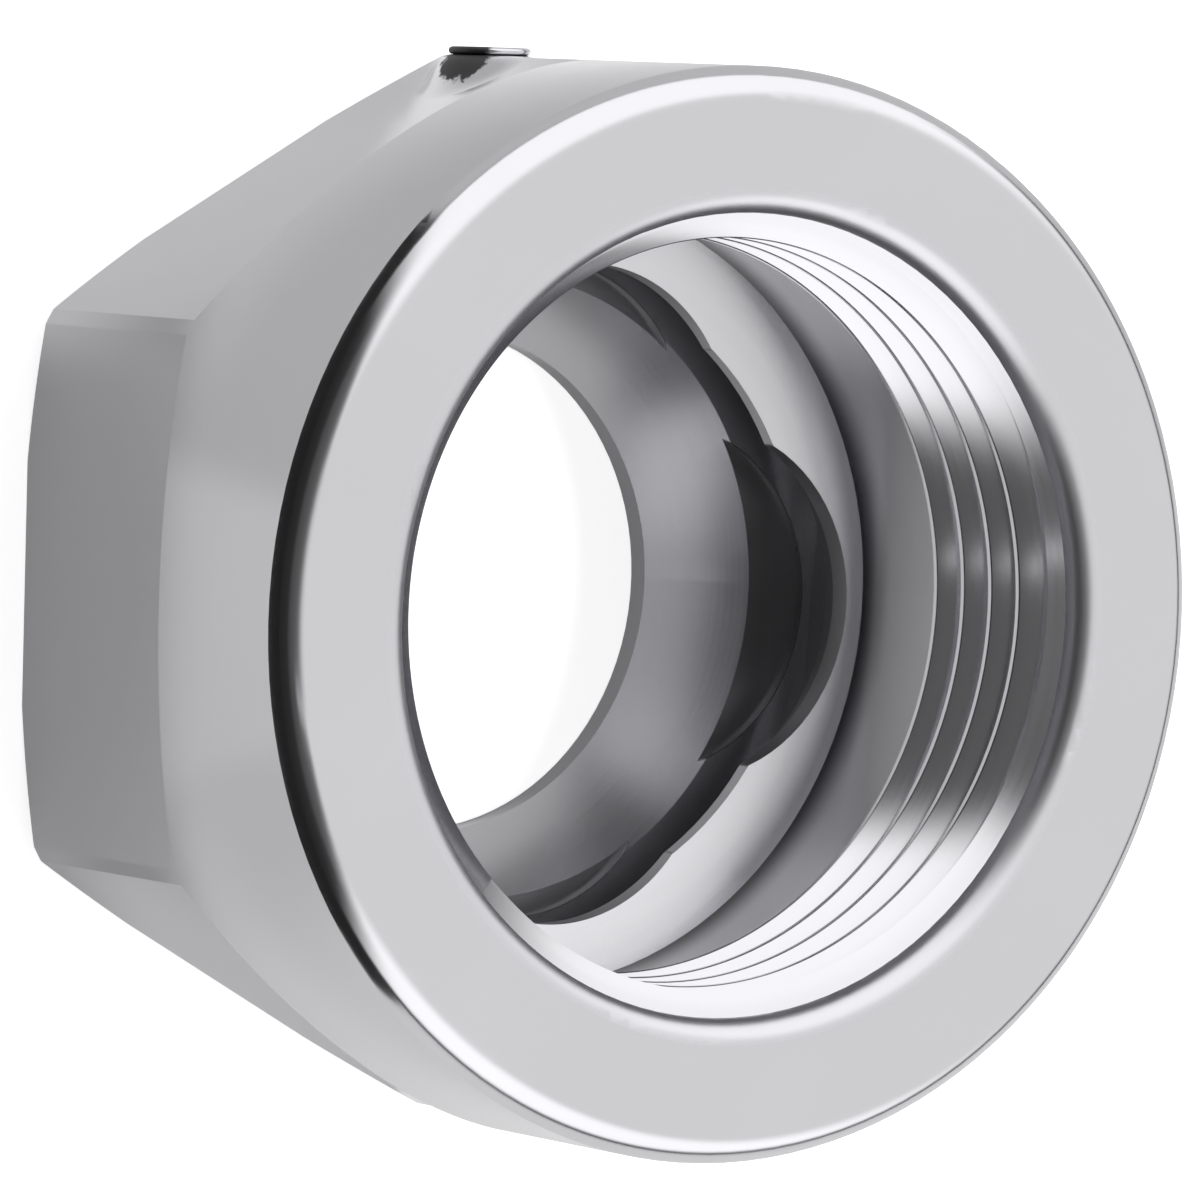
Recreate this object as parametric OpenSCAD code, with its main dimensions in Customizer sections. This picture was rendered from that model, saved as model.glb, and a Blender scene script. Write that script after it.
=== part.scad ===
// Collet chuck nut: a hexagon nut with a round collar, an internal clamping
// thread, an undercut lip that draws the collet out, and a conical seat.
// The nut stands on its front face (z = 0); the threaded end is on top.
// The thread itself is left out: its bore has the thread's major diameter.

/* [Overall] */
// Diameter of the round collar, and of the circle that cuts the corners
collar_d = 34.1; // [33.5:0.1:36]
// Height of the nut, from the front face to the threaded face
nut_h = 19.2; // [18.6:0.1:24]
// Width of the hexagon across its flats
across_flats = 29.8; // [29:0.1:31]

/* [Hexagon] */
// Length of a flat at its middle, from the front face
flat_run = 11.9; // [9:0.1:14]
// Diameter of the mill that cut the flats and left their round ends
flat_mill_d = 32; // [28:1:50]
// Radial width of the crowned edge round the front face
crown_w = 1.65; // [0.5:0.05:2]
// Radius of the sphere that crowns that edge
crown_r = 32.5; // [25:0.5:45]

/* [Collar rim] */
// Radius of the rounded rim at the threaded face
rim_round = 1.1; // [1.1:0.05:2]
// Radial width of that rounding
rim_w = 1.08; // [0.5:0.02:1.1]

/* [Mouth and thread] */
// Major diameter of the clamping thread
thread_d = 25; // [24:0.5:26]
// Radius that rounds the mouth of the bore
mouth_round = 0.8; // [0.2:0.05:1]
// Depth of the end of the thread below the threaded face
thread_end = 7.2; // [5:0.1:9]
// Depth of the relief groove below the thread's major diameter
relief_cut = 0.2; // [0.1:0.05:0.5]

/* [Lip] */
// Depth of the lip's upper face below the threaded face
lip_depth = 12.3; // [10:0.1:12.5]
// Diameter of the hole through the lip
lip_d = 20.3; // [19.8:0.1:21]
// Thickness of the lip at its edge
lip_edge = 0.5; // [0.3:0.05:0.8]
// Slope of the lip's underside
lip_slope = 20; // [10:1:30]
// Diameter of the groove below the lip
groove_d = 24.6; // [24:0.1:25]
// Depth of the groove's floor below the threaded face
shoulder_depth = 14.9; // [14.6:0.1:15.5]

/* [Nose] */
// Diameter of the hole through the front face
nose_d = 16.4; // [14:0.1:17]
// Length of that hole's straight wall
nose_land = 0.8; // [0.3:0.1:1]
// Half angle of the conical seat for the collet
seat_angle = 30; // [15:1:30]

/* [Notches in the lip] */
// Diameter of the cutter that made the notches
notch_d = 11.4; // [10:0.1:12]
// Distance of the deep notch's centre from the axis
deep_notch_offset = 6.4; // [5.8:0.1:6.6]
// Distance of the two side notches' centres from the axis
side_notch_offset = 5.1; // [4.8:0.1:5.5]
// Angle from the deep notch to each side notch
side_notch_angle = 75; // [60:1:90]
// Direction of the deep notch round the axis
notch_turn = -3.5; // [-30:0.5:30]
// Depth to which the cutter marked the groove's floor
notch_mark = 0.2; // [0.1:0.05:0.4]

/* [Burr on a corner] */
// Diameter of the small raised round mark
burr_d = 2.3; // [1:0.1:3]
// Height of the mark above the collar's diameter
burr_proud = 0.3; // [0.1:0.05:0.5]
// Height of the mark's centre above the front face
burr_z = 3.3; // [2.5:0.1:5]
// Corner of the hexagon that carries the mark
burr_turn = 90; // [30:60:330]

/* [Hidden] */
// Fineness of the round surfaces
$fn = 180;
// Overlap that lets a cutter run clean through a face
past = 1;

collar_r = collar_d / 2;
flat_r = across_flats / 2;
thread_r = thread_d / 2;
relief_r = thread_r + relief_cut;
lip_r = lip_d / 2;
groove_r = groove_d / 2;
nose_r = nose_d / 2;
flat_mill_r = flat_mill_d / 2;
notch_r = notch_d / 2;

// Heights above the front face
thread_end_z = nut_h - thread_end;
lip_z = nut_h - lip_depth;
lip_edge_z = lip_z - lip_edge;
lip_root_z = lip_edge_z - (groove_r - lip_r) * tan(lip_slope);
shoulder_z = nut_h - shoulder_depth;
seat_r = nose_r + (shoulder_z - nose_land) * tan(seat_angle);

// Half of the section through the blank, before its upper edges are rounded
module blank_section() {
    polygon([
        [nose_r, 0],
        [collar_r, 0],
        [collar_r, nut_h],
        [thread_r, nut_h],
        [thread_r, thread_end_z],
        [relief_r, thread_end_z],
        [relief_r, lip_z],
        [lip_r, lip_z],
        [lip_r, lip_edge_z],
        [groove_r, lip_root_z],
        [groove_r, shoulder_z],
        [seat_r, shoulder_z],
        [nose_r, nose_land]
    ]);
}

// What is left of a square corner when it is rounded: side picks the corner,
// 1 for the one at larger radius and -1 for the one at smaller radius
module corner_waste(centre_r, round_r, side) {
    difference() {
        translate([side > 0 ? centre_r : centre_r - round_r - past, nut_h - round_r])
            square([round_r + past, round_r + past]);
        translate([centre_r, nut_h - round_r])
            circle(r = round_r);
    }
}

// The turned ring: collar, bore, lip, groove and seat
module turned_ring() {
    rotate_extrude()
        difference() {
            blank_section();
            corner_waste(collar_r - rim_w, rim_round, 1);
            corner_waste(thread_r + mouth_round, mouth_round, -1);
        }
}

// The sphere that crowns the edge of the front face
module crown() {
    face_r = collar_r - crown_w;
    translate([0, 0, sqrt(crown_r * crown_r - face_r * face_r)])
        sphere(r = crown_r);
}

// What the mill takes away in front of one flat
module flat_waste(angle) {
    rotate([0, 0, angle])
        translate([flat_r, 0, flat_run - flat_mill_r])
            rotate([0, 90, 0])
                cylinder(r = flat_mill_r, h = collar_r - flat_r + past);
}

// One plunge of the cutter through the lip, marking the groove's floor
module notch(angle, offset_r) {
    floor_z = shoulder_z - notch_mark;
    rotate([0, 0, angle])
        translate([offset_r, 0, floor_z])
            cylinder(r = notch_r, h = lip_z + past - floor_z);
}

module notches() {
    notch(notch_turn, deep_notch_offset);
    for (side = [-1, 1])
        notch(notch_turn + side * side_notch_angle, side_notch_offset);
}

module burr() {
    root_r = groove_r + 0.5 * (flat_r - groove_r);
    rotate([0, 0, burr_turn])
        translate([root_r, 0, burr_z])
            rotate([0, 90, 0])
                cylinder(d = burr_d, h = collar_r + burr_proud - root_r);
}

module nut() {
    color([0.76, 0.77, 0.79])
        union() {
            difference() {
                intersection() {
                    turned_ring();
                    crown();
                }
                for (i = [0 : 5])
                    flat_waste(60 * i);
                notches();
            }
            burr();
        }
}

nut();
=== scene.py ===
import math

import bmesh
import bpy
from mathutils import Euler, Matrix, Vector
from mathutils.bvhtree import BVHTree
from mathutils.interpolate import poly_3d_calc


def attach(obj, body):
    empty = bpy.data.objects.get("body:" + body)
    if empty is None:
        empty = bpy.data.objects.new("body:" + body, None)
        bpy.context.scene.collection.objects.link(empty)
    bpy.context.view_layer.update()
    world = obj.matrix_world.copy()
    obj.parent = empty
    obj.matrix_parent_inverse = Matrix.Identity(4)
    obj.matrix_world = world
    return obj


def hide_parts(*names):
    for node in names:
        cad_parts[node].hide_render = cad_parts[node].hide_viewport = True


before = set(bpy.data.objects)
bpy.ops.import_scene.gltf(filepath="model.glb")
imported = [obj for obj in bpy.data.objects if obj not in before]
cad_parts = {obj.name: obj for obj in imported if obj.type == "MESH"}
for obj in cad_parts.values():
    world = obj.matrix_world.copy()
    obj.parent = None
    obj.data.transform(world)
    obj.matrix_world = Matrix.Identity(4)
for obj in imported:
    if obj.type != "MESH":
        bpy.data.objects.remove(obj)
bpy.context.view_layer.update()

MM = 0.001

# Sizes of the nut, in millimetres and degrees, as in the CAD source
NUT_H = 19.2
COLLAR_R = 17.05
FLAT_R = 14.9
LIP_Z = 6.9
SHOULDER_Z = 4.3
NOTCH_R = 5.7
DEEP_NOTCH_OFFSET = 6.4
SIDE_NOTCH_OFFSET = 5.1
SIDE_NOTCH_ANGLE = 75
NOTCH_TURN = -3.5
SIDE_NOTCH_TURNS = (NOTCH_TURN - SIDE_NOTCH_ANGLE, NOTCH_TURN + SIDE_NOTCH_ANGLE)
NOTCH_MARK = 0.2
BURR_R = 1.15
BURR_Z = 3.3
BURR_TOP = 17.35

# Camera
CAMERA_PLACE = (-0.1693213, 0.0186158, 0.2664576)
CAMERA_TURN = (-4.4648, -33.3874, 1.8)

camera_data = bpy.data.cameras.new("camera")
camera_data.sensor_width = 36
camera_data.lens = 291.33
camera_data.clip_start = 0.01
camera_data.clip_end = 20
camera = bpy.data.objects.new("camera", camera_data)
camera.location = CAMERA_PLACE
camera.rotation_euler = Euler([math.radians(turn) for turn in CAMERA_TURN], "XYZ")
bpy.context.scene.collection.objects.link(camera)
bpy.context.scene.camera = camera


# Shading helpers
def node(tree, kind, **values):
    """A new node with its properties set."""
    made = tree.nodes.new(kind)
    for key, value in values.items():
        setattr(made, key, value)
    return made


def new_material(name):
    """A material with an empty node tree, and that tree."""
    material = bpy.data.materials.new(name)
    material.use_nodes = True
    material.node_tree.nodes.clear()
    return material, material.node_tree


class Shading:
    """A node tree, the point that it shades, and sums on its sockets."""

    def __init__(self, tree, coordinates):
        self.tree = tree
        self.point = node(tree, "ShaderNodeTexCoord").outputs[coordinates]
        parts = node(tree, "ShaderNodeSeparateXYZ")
        tree.links.new(self.point, parts.inputs[0])
        self.x, self.y, self.z = parts.outputs
        self.radius = self.length(self.x, self.y)

    def maths(self, operation, *inputs):
        """One Math node on sockets and numbers."""
        made = node(self.tree, "ShaderNodeMath", operation=operation)
        for i, value in enumerate(inputs):
            if isinstance(value, (int, float)):
                made.inputs[i].default_value = value
            else:
                self.tree.links.new(value, made.inputs[i])
        return made.outputs[0]

    def chain(self, operation, values):
        total = values[0]
        for value in values[1:]:
            total = self.maths(operation, total, value)
        return total

    def add(self, *values):
        return self.chain("ADD", values)

    def times(self, *values):
        return self.chain("MULTIPLY", values)

    def most(self, *values):
        return self.chain("MAXIMUM", values)

    def rest(self, value):
        """What is left of 1 after value."""
        return self.maths("SUBTRACT", 1.0, value)

    def length(self, a, b):
        return self.maths("SQRT", self.add(self.times(a, a), self.times(b, b)))

    def less(self, value, mm):
        return self.maths("SUBTRACT", value, mm * MM)

    def below(self, value, mm):
        return self.maths("LESS_THAN", value, mm * MM)

    def above(self, value, mm):
        return self.maths("GREATER_THAN", value, mm * MM)

    def map(self, value, start, end, low, high, kind="SMOOTHSTEP"):
        """Go from low to high while value goes from start to end."""
        made = node(self.tree, "ShaderNodeMapRange", interpolation_type=kind)
        made.inputs["From Min"].default_value = start
        made.inputs["From Max"].default_value = end
        made.inputs["To Min"].default_value = low
        made.inputs["To Max"].default_value = high
        self.tree.links.new(value, made.inputs["Value"])
        return made.outputs[0]

    def span(self, value, start, end, low=0.0, high=1.0):
        """The same, softly, with start and end in millimetres."""
        return self.map(value, start * MM, end * MM, low, high)

    def noise(self, vector, scale, detail, roughness=0.5):
        made = node(self.tree, "ShaderNodeTexNoise")
        made.inputs["Scale"].default_value = scale
        made.inputs["Detail"].default_value = detail
        made.inputs["Roughness"].default_value = roughness
        self.tree.links.new(vector, made.inputs["Vector"])
        return made.outputs["Fac"]

    def vector(self, *values):
        made = node(self.tree, "ShaderNodeCombineXYZ")
        for value, socket in zip(values, made.inputs):
            self.tree.links.new(value, socket)
        return made.outputs[0]

    def ramp(self, factor, stops):
        """Straight colour ramp of greys: stops are (position, grey)."""
        made = node(self.tree, "ShaderNodeValToRGB")
        elements = made.color_ramp.elements
        while len(elements) > 1:
            elements.remove(elements[0])
        elements[0].position = stops[0][0]
        for position, _ in stops[1:]:
            elements.new(position)
        for element, (_, grey) in zip(elements, stops):
            element.color = (grey, grey, grey, 1)
        self.tree.links.new(factor, made.inputs["Fac"])
        return made.outputs["Color"]


# Steel
STEEL = (0.772, 0.769, 0.795)
LATHE_LINES = 9000       # how closely the lathe's marks lie across their run
LATHE_RUN = 60           # how often they change along it
BLOTCH_SCALE = 160
BLOTCH_TONE = (0.965, 1.02)
RAG_SCALE = 2600         # ragged edge of the dark patch
RAG_ROUGHNESS = 0.65

# Roughness of the polished faces, and what each cause adds to it
POLISH = 0.11
MARKS_ROUGH = 0.05
BLOTCH_ROUGH = 0.05
RELIEF_ROUGH = 0.14
UP_TO_LIP_ROUGH = 0.04
MOUTH_ROUGH = 0.2
CUT_ROUGH = 0.25
PATCH_ROUGH = 0.4

# Surfaces inside the bore: limits in millimetres, and how much painted shade darkens them
INSIDE_R = 12.8
FRONT_Z = 0.01
SEAT_TOP_Z = 6.1
SEAT_SHADE = 0.19
GROOVE_Z = 4.28
GROOVE_SHADE = 0.22
RELIEF_FROM_R = 12.52
RELIEF_Z = (6.91, 12.01)
# Painted shade, darkest at the relief's bottom corner and fading upwards
RELIEF_SHADE = (6.9, 8.6, 0.93, 0.30)
THREAD_TO_R = 12.485
THREAD_FROM_Z = 11.99
# Painted shade, darker towards the thread's roots
ROOT_SHADE = (11.9, 12.45, 0.0, 0.06)
LIP_FACE_Z = (6.88, 6.92)
LIP_HOLLOW = math.tan(math.radians(16))
MOUTH_R = 13.3
MOUTH_Z = 18.4

# Surfaces that the notch cutter left, and how much painted shade darkens them
CUTTER_REACH = NOTCH_R + 0.03
CUT_Z = (4.05, 6.88)
CUT_FROM_R = 10.09
DEEP_CUT_SHADE = 0.52
SIDE_CUT_SHADE = 0.5

# Dark patch: an oval beside the raised mark, and one side of the mark itself
OVAL_X = -1.42
OVAL_Z = 4.05
OVAL_HALF_X = 0.78
OVAL_HALF_Z = 0.98
OVAL_EDGE = (1.0, 0.82)  # where it starts and is full, as shares of its size
OVAL_RAG = 0.9
SIDE_TOWARDS = (0.835, 0.55)
SIDE_EDGE = (0.15, -0.1)
SIDE_RAG = 0.7
SIDE_TO_R = 1.5
PATCH_FROM_Y = 15.5
# Painted shade in the crevice under the mark's rim: distance from the mark's axis,
# and height over the nut's axis
CREVICE_R = (1.4, 1.32)
CREVICE_FROM_Y = (17.06, 17.08)
CREVICE_TO_Y = (17.13, 17.1)
CREVICE_SHADE = 0.85
PATCH_AND_SHADE_DARKNESS = 0.88             # how dark the patch and the painted shade are


def bore_regions(s):
    """Masks of the surfaces inside the bore."""
    inside = s.below(s.radius, INSIDE_R)
    seat = s.times(inside, s.below(s.z, SEAT_TOP_Z), s.above(s.z, FRONT_Z))
    up_to_lip = s.times(inside, s.below(s.z, LIP_FACE_Z[1]))
    return {
        "seat": seat,
        "groove": s.times(seat, s.above(s.z, GROOVE_Z)),
        "relief": s.times(inside, s.above(s.radius, RELIEF_FROM_R),
                          s.above(s.z, RELIEF_Z[0]), s.below(s.z, RELIEF_Z[1])),
        "thread": s.times(s.below(s.radius, THREAD_TO_R), s.above(s.z, THREAD_FROM_Z)),
        "up_to_lip": up_to_lip,
        "lip_face": s.times(up_to_lip, s.above(s.z, LIP_FACE_Z[0])),
        "mouth": s.times(s.below(s.radius, MOUTH_R), s.above(s.z, MOUTH_Z)),
    }


def painted_notch_shade(s):
    """Painted shade where the cutter made the three notches: how much darker the steel is
    there.
    """
    places = [(NOTCH_TURN, DEEP_NOTCH_OFFSET, DEEP_CUT_SHADE)]
    places += [(turn, SIDE_NOTCH_OFFSET, SIDE_CUT_SHADE) for turn in SIDE_NOTCH_TURNS]
    cuts = []
    for angle, offset, painted_shade in places:
        a = math.radians(angle)
        reach = s.length(s.less(s.x, offset * math.cos(a)),
                         s.less(s.y, offset * math.sin(a)))
        cuts.append(s.times(s.below(reach, CUTTER_REACH), painted_shade))
    return s.times(s.most(*cuts), s.above(s.z, CUT_Z[0]), s.below(s.z, CUT_Z[1]),
                   s.above(s.radius, CUT_FROM_R))


def dark_patch_and_shade(s):
    """Mask of the dark patch at the raised mark, and of it together with the
    painted shade in the crevice under the mark's rim."""
    rag = s.maths("SUBTRACT", s.noise(s.point, RAG_SCALE, 3, RAG_ROUGHNESS), 0.5)
    along = s.maths("DIVIDE", s.less(s.z, OVAL_Z), OVAL_HALF_Z * MM)
    across = s.maths("DIVIDE", s.less(s.x, OVAL_X), OVAL_HALF_X * MM)
    ragged = s.add(s.length(along, across), s.times(rag, OVAL_RAG))
    oval = s.map(ragged, *OVAL_EDGE, 0, 1)
    from_mark = s.less(s.z, BURR_Z)
    mark_r = s.length(s.x, from_mark)
    side = s.add(s.times(s.x, SIDE_TOWARDS[0]), s.times(from_mark, SIDE_TOWARDS[1]),
                 s.times(rag, SIDE_RAG * MM))
    on_mark = s.times(s.span(side, *SIDE_EDGE), s.below(mark_r, SIDE_TO_R))
    dark_patch = s.times(s.most(oval, on_mark), s.above(s.y, PATCH_FROM_Y))
    # Painted shade in the crevice under the mark's rim
    crevice = s.times(s.span(mark_r, *CREVICE_R), s.span(s.y, *CREVICE_FROM_Y),
                      s.span(s.y, *CREVICE_TO_Y))
    return dark_patch, s.most(dark_patch, s.times(crevice, CREVICE_SHADE))


def steel_material():
    material, tree = new_material("steel_bright")
    out = node(tree, "ShaderNodeOutputMaterial")
    shader = node(tree, "ShaderNodeBsdfPrincipled")
    shader.inputs["Metallic"].default_value = 1
    tree.links.new(shader.outputs[0], out.inputs["Surface"])
    s = Shading(tree, "Object")

    # Fine marks of the lathe, which hardly change round the axis, and blotches
    # of wear in the polish
    marks = s.noise(s.vector(s.times(s.radius, LATHE_LINES), s.times(s.z, LATHE_LINES),
                             s.times(s.x, LATHE_RUN)), 1, 1)
    blotch = s.noise(s.point, BLOTCH_SCALE, 2)
    region = bore_regions(s)
    notch = painted_notch_shade(s)
    dark_patch, patch_and_shade = dark_patch_and_shade(s)

    # Painted shade darkens the seat, groove, relief and thread roots inside the bore, and
    # the notches; the dark patch and the painted shade under the mark's rim darken too
    painted_shade = s.add(s.times(region["seat"], SEAT_SHADE),
                 s.times(region["groove"], GROOVE_SHADE),
                 s.times(region["relief"], s.span(s.z, *RELIEF_SHADE)),
                 s.times(region["thread"], s.span(s.radius, *ROOT_SHADE)))
    grey = s.times(s.map(blotch, 0, 1, *BLOTCH_TONE, "LINEAR"), s.rest(painted_shade),
                   s.rest(notch), s.rest(s.times(patch_and_shade, PATCH_AND_SHADE_DARKNESS)))
    colour = node(tree, "ShaderNodeVectorMath", operation="SCALE")
    colour.inputs[0].default_value = STEEL
    tree.links.new(grey, colour.inputs["Scale"])
    tree.links.new(colour.outputs[0], shader.inputs["Base Color"])

    rough = s.add(s.times(marks, MARKS_ROUGH), s.times(blotch, BLOTCH_ROUGH),
                  s.times(region["relief"], RELIEF_ROUGH),
                  s.times(region["up_to_lip"], UP_TO_LIP_ROUGH),
                  s.times(region["mouth"], MOUTH_ROUGH), s.times(notch, CUT_ROUGH),
                  s.times(dark_patch, PATCH_ROUGH), POLISH)
    tree.links.new(rough, shader.inputs["Roughness"])

    # The lip's face is turned a little hollow
    hollow = node(tree, "ShaderNodeBump")
    hollow.inputs["Strength"].default_value = 1
    hollow.inputs["Distance"].default_value = 1
    tree.links.new(s.times(region["lip_face"], s.radius, LIP_HOLLOW),
                   hollow.inputs["Height"])
    tree.links.new(hollow.outputs[0], shader.inputs["Normal"])
    return material


steel = steel_material()
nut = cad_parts["nut"]
nut.material_slots[0].material = steel


# Mesh helpers
def mesh_object(name, vertices, faces):
    """An object made of vertices in metres."""
    mesh = bpy.data.meshes.new(name)
    mesh.from_pydata(vertices, [], faces)
    mesh.update()
    made = bpy.data.objects.new(name, mesh)
    bpy.context.scene.collection.objects.link(made)
    return made


def boolean(thing, operation, tool):
    """The mesh of thing after a boolean with tool, which is then removed."""
    cut = thing.modifiers.new("cut", "BOOLEAN")
    cut.operation = operation
    cut.solver = "EXACT"
    cut.object = tool
    graph = bpy.context.evaluated_depsgraph_get()
    made = bpy.data.meshes.new_from_object(thing.evaluated_get(graph))
    thing.modifiers.clear()
    bpy.data.objects.remove(tool)
    return made


def face_outward(thing):
    work = bmesh.new()
    work.from_mesh(thing.data)
    bmesh.ops.recalc_face_normals(work, faces=work.faces)
    work.to_mesh(thing.data)
    work.free()


def lathed_faces(columns, points, closed):
    """Quads between the columns of points of a turned form; closed joins the
    last point of each column to the first."""
    faces = []
    for c in range(columns):
        d = (c + 1) % columns
        for j in range(points if closed else points - 1):
            k = (j + 1) % points
            faces.append([c * points + j, c * points + k, d * points + k, d * points + j])
    return faces


# Side notches
NOTCH_FLOOR = SHOULDER_Z - NOTCH_MARK
NOTCH_TOP = LIP_Z + 1
NOTCH_STEPS = 96
# How near a point lies to a notch's wall or floor to count as on it, and the
# least and most that the normal of a level and an upright face points up
ON_WALL = 0.004
ON_FLOOR = 0.001
LEVEL = 0.99
UPRIGHT = 0.01


def notch_cutter():
    """Half round prisms that stand where the side notches are cut."""
    vertices, faces = [], []
    for angle in SIDE_NOTCH_TURNS:
        a = math.radians(angle)
        edge = []
        for k in range(NOTCH_STEPS + 1):
            turn = math.radians(180 * k / NOTCH_STEPS - 90)
            x = SIDE_NOTCH_OFFSET + NOTCH_R * math.cos(turn)
            y = NOTCH_R * math.sin(turn)
            edge.append((x * math.cos(a) - y * math.sin(a),
                         x * math.sin(a) + y * math.cos(a)))
        n, base = len(edge), len(vertices)
        for h in (NOTCH_FLOOR, NOTCH_TOP):
            vertices += [(x * MM, y * MM, h * MM) for x, y in edge]
        faces.append([base + k for k in reversed(range(n))])
        faces.append([base + n + k for k in range(n)])
        for k in range(n):
            m = (k + 1) % n
            faces.append([base + k, base + m, base + n + m, base + n + k])
    return mesh_object("notch_cutter", vertices, faces)


def notch_wall_normal(point):
    """Normal of a side notch's wall at a point, or None elsewhere."""
    for angle in SIDE_NOTCH_TURNS:
        a = math.radians(angle)
        centre = Vector((math.cos(a), math.sin(a), 0)) * SIDE_NOTCH_OFFSET * MM
        towards = Vector((centre.x - point.x, centre.y - point.y, 0))
        if abs(towards.length - NOTCH_R * MM) < ON_WALL * MM:
            return towards.normalized()
    return None


def is_notch_floor(face):
    return face.normal.z > LEVEL and abs(face.center.z - NOTCH_FLOOR * MM) < ON_FLOOR * MM


def notched_nut():
    """The CAD nut with its two side notches, which its exact solid lacks.
    Every face keeps the normals of the CAD face that it lies on."""
    source = nut.data
    corners = [vertex.co.copy() for vertex in source.vertices]
    tree = BVHTree.FromPolygons(corners, [face.vertices[:] for face in source.polygons])
    given = [corner.vector.copy() for corner in source.corner_normals]
    piece = bpy.data.objects.new("nut_notched", source.copy())
    bpy.context.scene.collection.objects.link(piece)
    piece.data = boolean(piece, "DIFFERENCE", notch_cutter())
    mesh = piece.data
    mesh.shade_smooth()
    normals = [Vector((0, 0, 1))] * len(mesh.loops)
    for face in mesh.polygons:
        if is_notch_floor(face):
            continue
        points = [(loop, mesh.vertices[mesh.loops[loop].vertex_index].co)
                  for loop in face.loop_indices]
        upright = abs(face.normal.z) < UPRIGHT
        wall = notch_wall_normal(face.center) if upright else None
        if wall is not None:
            for loop, point in points:
                normals[loop] = notch_wall_normal(point) or wall
            continue
        old = source.polygons[tree.find_nearest(face.center)[2]]
        places = [corners[v] for v in old.vertices]
        for loop, point in points:
            mixed = Vector((0, 0, 0))
            for weight, corner in zip(poly_3d_calc(places, point), old.loop_indices):
                mixed += given[corner] * weight
            normals[loop] = mixed.normalized()
    mesh.normals_split_custom_set(normals)
    mesh.materials.clear()
    mesh.materials.append(steel)
    return piece


notched = notched_nut()
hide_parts("nut")
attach(notched, "root")


# Thread
PITCH = 1.5
ROOT_R = 12.47
CREST_R = 11.69
CREST_ROUND = 0.09
CREST_FLAT = 0.1
CREST_Z = 12.39          # height of a crest at +X
CREST_STEPS = 3          # points on each rounded edge of a crest
FLANK_ANGLE = 31
SHELL_R = 12.58          # the sleeve's outer face, hidden in the nut's wall
SLEEVE_TURNS = range(-1, 6)
THREAD_COLUMNS = 480
SHARP_ANGLE = 25
# Section of the ring between the conical ends of the thread
THREAD_KEEP = [
    (11.4, NUT_H - 7.06),
    (12.66, NUT_H - 7.22),
    (12.66, NUT_H - 0.704),
    (12.5, NUT_H - 0.8),
    (11.4, NUT_H - 1.46),
]


def thread_profile():
    """(radius, height) over one pitch, from below a rounded crest."""
    top = 90 - FLANK_ANGLE
    points = []
    for k in range(-CREST_STEPS, CREST_STEPS + 1):
        turn = math.radians(top * k / CREST_STEPS)
        side = CREST_FLAT / 2 * ((k > 0) - (k < 0))
        points.append((CREST_R + CREST_ROUND * (1 - math.cos(turn)),
                       CREST_ROUND * math.sin(turn) + side))
    rise = (ROOT_R - points[-1][0]) * math.tan(math.radians(FLANK_ANGLE))
    root = points[-1][1] + rise
    return points + [(ROOT_R, root), (ROOT_R, PITCH - root)]


def thread_sleeve():
    """One closed band whose inner face follows the helix; its columns join
    after a full turn one pitch further up."""
    profile = thread_profile()
    step = len(profile)
    rows = [(r, h + PITCH * k) for k in SLEEVE_TURNS for r, h in profile]
    count = len(rows)
    start_z = CREST_Z - PITCH
    vertices = []
    index = {}
    for c in range(THREAD_COLUMNS + 1):
        turn = 2 * math.pi * c / THREAD_COLUMNS
        rise = PITCH * c / THREAD_COLUMNS
        for j, (r, h) in enumerate(rows):
            for side, radius in ((0, r), (1, SHELL_R)):
                if c == THREAD_COLUMNS and j + step < count:
                    index[c, j, side] = index[0, j + step, side]
                    continue
                index[c, j, side] = len(vertices)
                vertices.append((
                    radius * math.cos(turn) * MM,
                    radius * math.sin(turn) * MM,
                    (start_z + h + rise) * MM))
    faces = []
    for c in range(THREAD_COLUMNS):
        for j in range(count - 1):
            for side in (0, 1):
                faces.append([index[c, j, side], index[c + 1, j, side],
                              index[c + 1, j + 1, side], index[c, j + 1, side]])
        for j in (0, count - 1):
            faces.append([index[c, j, 0], index[c + 1, j, 0],
                          index[c + 1, j, 1], index[c, j, 1]])
    # The two ends of the band, where nothing follows
    for c, first in ((0, 0), (THREAD_COLUMNS, count - 1 - step)):
        for j in range(first, first + step):
            faces.append([index[c, j, 0], index[c, j + 1, 0],
                          index[c, j + 1, 1], index[c, j, 1]])
    return mesh_object("thread", vertices, faces)


def ring_to_keep():
    vertices = []
    for c in range(THREAD_COLUMNS):
        turn = 2 * math.pi * (c + 0.5) / THREAD_COLUMNS
        for r, h in THREAD_KEEP:
            vertices.append((r * math.cos(turn) * MM, r * math.sin(turn) * MM, h * MM))
    return mesh_object(
        "thread_keep", vertices, lathed_faces(THREAD_COLUMNS, len(THREAD_KEEP), True))


def make_thread():
    sleeve = thread_sleeve()
    face_outward(sleeve)
    keep = ring_to_keep()
    face_outward(keep)
    sleeve.data = boolean(sleeve, "INTERSECT", keep)
    sleeve.data.shade_smooth()
    sleeve.data.set_sharp_from_angle(angle=math.radians(SHARP_ANGLE))
    sleeve.data.materials.clear()
    sleeve.data.materials.append(steel)
    return sleeve


thread = make_thread()
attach(thread, "root")


# Raised mark
MARK_COLUMNS = 96
# Section of the rim: radius, and depth below the mark's top
RIM_SECTION = [
    (1.13, 0.23), (1.13, 0.0005), (1.19, 0.0005), (1.255, 0.015), (1.305, 0.05),
    (1.33, 0.1), (1.325, 0.16), (1.3, 0.21), (1.25, 0.245), (1.16, 0.26),
]
SKIRT_FROM_R = BURR_R - 0.01
SKIRT_W = 1.15
SKIRT_STEPS = 16
SKIRT_TOP = BURR_TOP - 0.26
SKIRT_SINK = 0.004       # how far the skirt's edge dips into the nut
SKIRT_STRETCH = 0.7      # the skirt is wider on the side of the dark patch
STRETCH_TOWARDS = (-0.564, 0.824)


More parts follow.
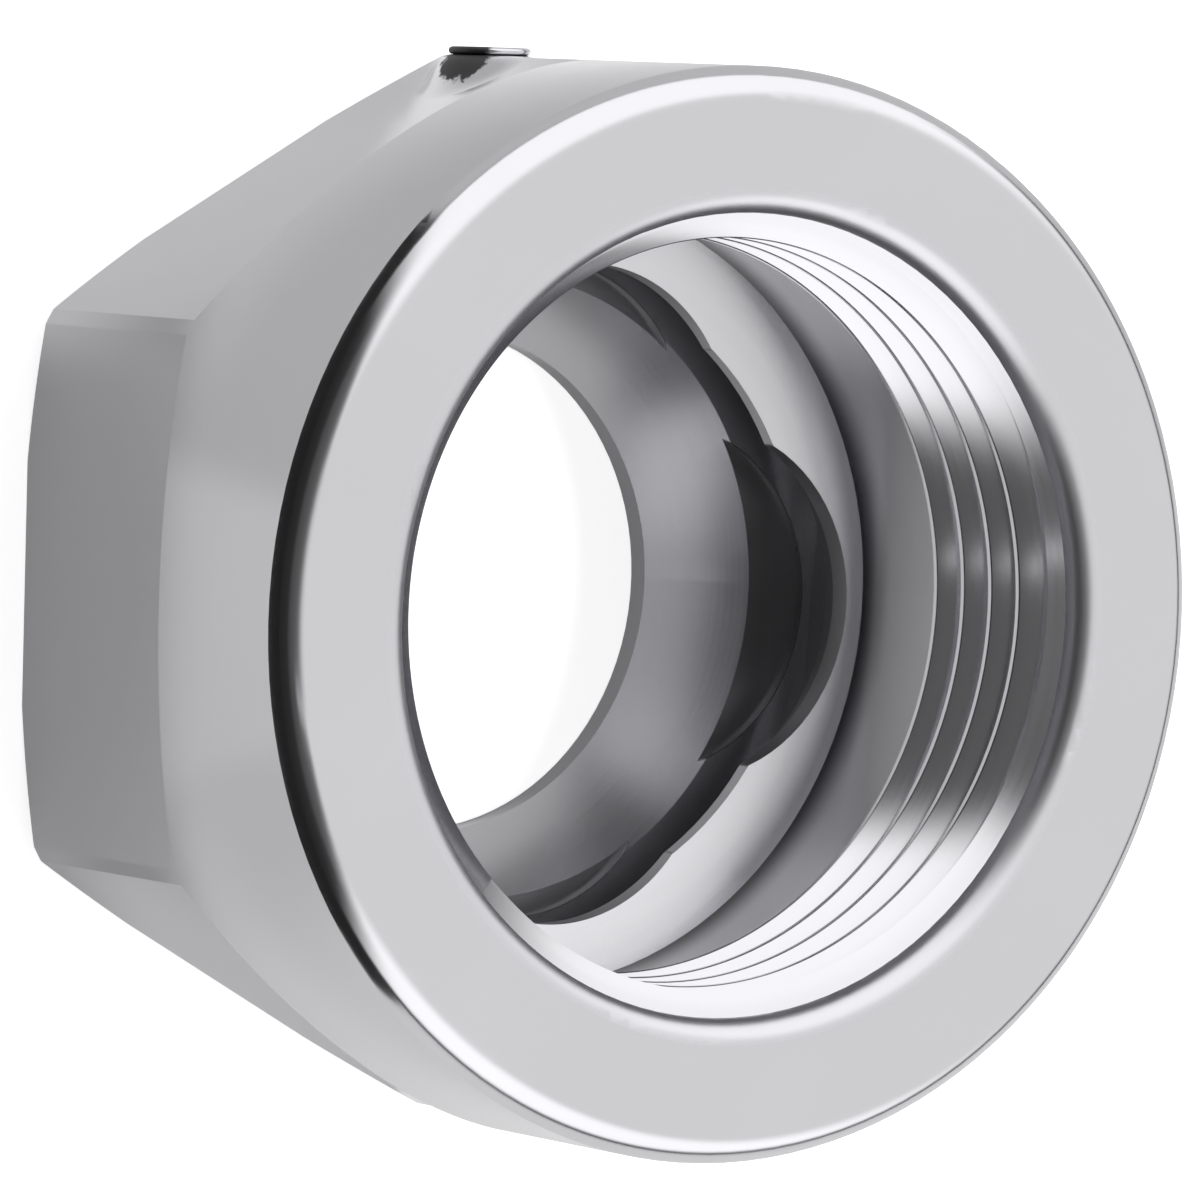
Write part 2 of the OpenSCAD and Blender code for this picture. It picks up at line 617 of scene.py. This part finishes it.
def round_mark(name, rings, closed, stretch=0.0):
    """Mesh turned about the mark's own axis: rings are (radius, height), where
    the height can be a function of x and z."""
    vertices = []
    for c in range(MARK_COLUMNS):
        turn = 2 * math.pi * c / MARK_COLUMNS
        lean = max(0.0, STRETCH_TOWARDS[0] * math.cos(turn)
                   + STRETCH_TOWARDS[1] * math.sin(turn))
        for r, height in rings:
            r = BURR_R + (r - BURR_R) * (1 + stretch * lean)
            x, z = r * math.cos(turn), r * math.sin(turn)
            y = height(x, z) if callable(height) else height
            vertices.append((x * MM, y * MM, (z + BURR_Z) * MM))
    made = mesh_object(name, vertices, lathed_faces(MARK_COLUMNS, len(rings), closed))
    made.data.shade_smooth()
    made.data.materials.append(steel)
    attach(made, "root")
    return made


def corner_height(x):
    """Height of the nut's corner over its axis, at x from the middle."""
    strip = math.sqrt(COLLAR_R ** 2 - x * x)
    flat = (FLAT_R - 0.5 * abs(x)) / math.cos(math.radians(30))
    return min(strip, flat)


def skirt_height(part):
    """Metal drawn up round the mark: part is 0 at the mark, 1 outside."""
    lift = (1 - part) ** 3 * (1 + 3 * part + 6 * part * part)

    def height(x, z):
        low = corner_height(x)
        return low + (SKIRT_TOP - low) * lift - SKIRT_SINK * part * part
    return height


rim = round_mark("mark_rim", [(r, BURR_TOP - depth) for r, depth in RIM_SECTION], True)
face_outward(rim)
round_mark("mark_skirt", [
    (SKIRT_FROM_R + SKIRT_W * k / SKIRT_STEPS, skirt_height(k / SKIRT_STEPS))
    for k in range(SKIRT_STEPS + 1)
], False, SKIRT_STRETCH)


# Floor
FLOOR_R = 3000
FLOOR_Z = -0.02
FLOOR_COLUMNS = 64
FLOOR_GREY = 0.62
WHITE_FOR_CAMERA = 0.8
WHITE_THROUGH_GLASS = 0.85
# Glow of the floor in the metal: from and to in millimetres, then the levels
# there. All but the last fade with the distance from the nut's axis.
GLOW_NEAR = (22.5, 25.5, 0.08, -0.02)
GLOW_NEAREST = (15, 20, 0.05, -0.01)
GLOW_PLUS = (17.5, 23.5, 0.19, -0.12)
GLOW_PLUS_SIDE = (6, 9.5)
GLOW_MINUS = (16.5, 19.5, 0.12, -0.06)
GLOW_MINUS_SIDE = (-9, -12)
GLOW_FAR_MINUS = (-16, -24, 0.0, 0.11)


def floor_material():
    """Pale floor: white for the camera, and a faint glow in the metal."""
    material, tree = new_material("floor_pale")
    links = tree.links
    out = node(tree, "ShaderNodeOutputMaterial")
    diffuse = node(tree, "ShaderNodeBsdfDiffuse")
    diffuse.inputs["Color"].default_value = (FLOOR_GREY, FLOOR_GREY, FLOOR_GREY, 1)
    glow = node(tree, "ShaderNodeEmission")
    both = node(tree, "ShaderNodeAddShader")
    path = node(tree, "ShaderNodeLightPath").outputs
    s = Shading(tree, "Object")
    sheen = s.add(
        s.span(s.radius, *GLOW_NEAR),
        s.span(s.radius, *GLOW_NEAREST),
        s.times(s.span(s.y, *GLOW_PLUS_SIDE), s.span(s.radius, *GLOW_PLUS)),
        s.times(s.span(s.y, *GLOW_MINUS_SIDE), s.span(s.radius, *GLOW_MINUS)),
        s.span(s.y, *GLOW_FAR_MINUS))
    strength = s.add(
        s.times(path["Is Camera Ray"], WHITE_FOR_CAMERA),
        s.times(path["Is Glossy Ray"], sheen),
        s.times(path["Is Transmission Ray"], WHITE_THROUGH_GLASS))
    links.new(strength, glow.inputs["Strength"])
    links.new(diffuse.outputs[0], both.inputs[0])
    links.new(glow.outputs[0], both.inputs[1])
    links.new(both.outputs[0], out.inputs["Surface"])
    return material


def make_floor():
    vertices = [(0, 0, FLOOR_Z * MM)]
    for c in range(FLOOR_COLUMNS):
        turn = 2 * math.pi * c / FLOOR_COLUMNS
        vertices.append((FLOOR_R * math.cos(turn) * MM, FLOOR_R * math.sin(turn) * MM,
                         FLOOR_Z * MM))
    faces = [[0, 1 + c, 1 + (c + 1) % FLOOR_COLUMNS] for c in range(FLOOR_COLUMNS)]
    made = mesh_object("floor", vertices, faces)
    made.data.materials.append(floor_material())
    return made


floor = make_floor()

FLAG_R = 45
FLAG_H = 22
FLAG_TURNS = (120, 240)
FLAG_STEPS = 48
FLAG_BLACK = 0.02


def dark_flag():
    """A low dark wall round the -X side, seen only in the metal."""
    vertices = []
    start, end = FLAG_TURNS
    for c in range(FLAG_STEPS + 1):
        turn = math.radians(start + (end - start) * c / FLAG_STEPS)
        for h in (0, FLAG_H):
            vertices.append((FLAG_R * math.cos(turn) * MM, FLAG_R * math.sin(turn) * MM,
                             h * MM))
    faces = [[2 * c, 2 * c + 2, 2 * c + 3, 2 * c + 1] for c in range(FLAG_STEPS)]
    flag = mesh_object("flag", vertices, faces)
    material, tree = new_material("flag_black")
    out = node(tree, "ShaderNodeOutputMaterial")
    cloth = node(tree, "ShaderNodeBsdfDiffuse")
    cloth.inputs["Color"].default_value = (FLAG_BLACK, FLAG_BLACK, FLAG_BLACK, 1)
    tree.links.new(cloth.outputs[0], out.inputs["Surface"])
    flag.data.materials.append(material)
    flag.visible_camera = False
    flag.visible_shadow = False
    flag.visible_diffuse = False


dark_flag()


# Light
TENT = 0.8
SIDE_PLUS = 1.22
SIDE_MINUS = 1.28
GAP = 0.7
DIFFUSE_DIM = 0.1
# Directions, as shares of the way to an axis: where each change starts and ends
LEVEL_PLUS_Y = (0.15, 0.5)
LEVEL_MINUS_Y = (-0.7, -0.4)
OPEN_PLUS_Y = (0.35, 0.6)
GAP_SIDES_Y = ((-0.18, -0.2), (-0.24, -0.22))
GAP_RISE_Z = (0.78, 0.86)
DARK_HEADING = (-0.34, -0.66)
# Greys of the sky by height, from the horizon (0) to the zenith (1)
LIT_SKY = [(0.0, 0.03), (0.07, 0.04), (0.2, 0.95), (0.3, 1.0), (1.0, 1.0)]
DARK_SKY = [
    (0.0, 0.02), (0.55, 0.03), (0.65, 0.08), (0.8, 0.1), (0.9, 0.13),
    (0.95, 0.3), (0.97, 0.55), (1.0, TENT),
]
MIX_A, MIX_B = 6, 7      # colour inputs of a Mix node
MIX_RESULT = 2           # and its colour output


def studio_world():
    """A soft tent of light over the nut, dark at the horizon and brighter to
    both sides along Y, where at +Y it comes down to the horizon. The -X side is
    dark up to near the zenith, apart from one narrow gap of light. The camera
    sees plain white."""
    world = bpy.data.worlds.new("studio")
    bpy.context.scene.world = world
    world.use_nodes = True
    tree = world.node_tree
    tree.nodes.clear()
    links = tree.links
    out = node(tree, "ShaderNodeOutputWorld")
    s = Shading(tree, "Generated")
    level = s.add(s.map(s.y, *LEVEL_PLUS_Y, TENT, SIDE_PLUS),
                  s.map(s.y, *LEVEL_MINUS_Y, SIDE_MINUS - TENT, 0))
    bright = s.times(level, s.most(s.ramp(s.z, LIT_SKY), s.map(s.y, *OPEN_PLUS_Y, 0, 1)))
    gap = s.times(s.map(s.y, *GAP_SIDES_Y[0], 0, 1), s.map(s.y, *GAP_SIDES_Y[1], 0, 1),
                  s.map(s.z, *GAP_RISE_Z, 0, 1))
    heading = s.maths("DIVIDE", s.x, s.most(s.radius, 0.001))
    mix = node(tree, "ShaderNodeMix", data_type="RGBA")
    links.new(s.map(heading, *DARK_HEADING, 0, 1), mix.inputs["Factor"])
    links.new(s.vector(bright, bright, bright), mix.inputs[MIX_A])
    links.new(s.add(s.ramp(s.z, DARK_SKY), s.times(gap, GAP)), mix.inputs[MIX_B])

    path = node(tree, "ShaderNodeLightPath").outputs
    studio = node(tree, "ShaderNodeBackground")
    links.new(mix.outputs[MIX_RESULT], studio.inputs["Color"])
    links.new(s.rest(s.times(path["Is Diffuse Ray"], DIFFUSE_DIM)),
              studio.inputs["Strength"])
    white = node(tree, "ShaderNodeBackground")
    white.inputs["Color"].default_value = (1, 1, 1, 1)
    pick = node(tree, "ShaderNodeMixShader")
    links.new(path["Is Camera Ray"], pick.inputs[0])
    links.new(studio.outputs[0], pick.inputs[1])
    links.new(white.outputs[0], pick.inputs[2])
    links.new(pick.outputs[0], out.inputs["Surface"])


studio_world()


KEY_PLACE = Vector((0.24, 0.0, 0.66))
KEY_TARGET = Vector((0, 0, 0.01))
KEY_SIZE = 0.06
KEY_WATTS = 2.6


def key_lamp():
    """A small lamp over the +X side, which the metal doesn't mirror."""
    data = bpy.data.lights.new("key", "AREA")
    data.shape = "DISK"
    data.size = KEY_SIZE
    data.energy = KEY_WATTS
    lamp = bpy.data.objects.new("key", data)
    lamp.location = KEY_PLACE
    lamp.rotation_euler = (KEY_TARGET - KEY_PLACE).to_track_quat("-Z", "Y").to_euler()
    lamp.visible_glossy = False
    bpy.context.scene.collection.objects.link(lamp)


key_lamp()

view = bpy.context.scene.view_settings
view.view_transform = "Standard"
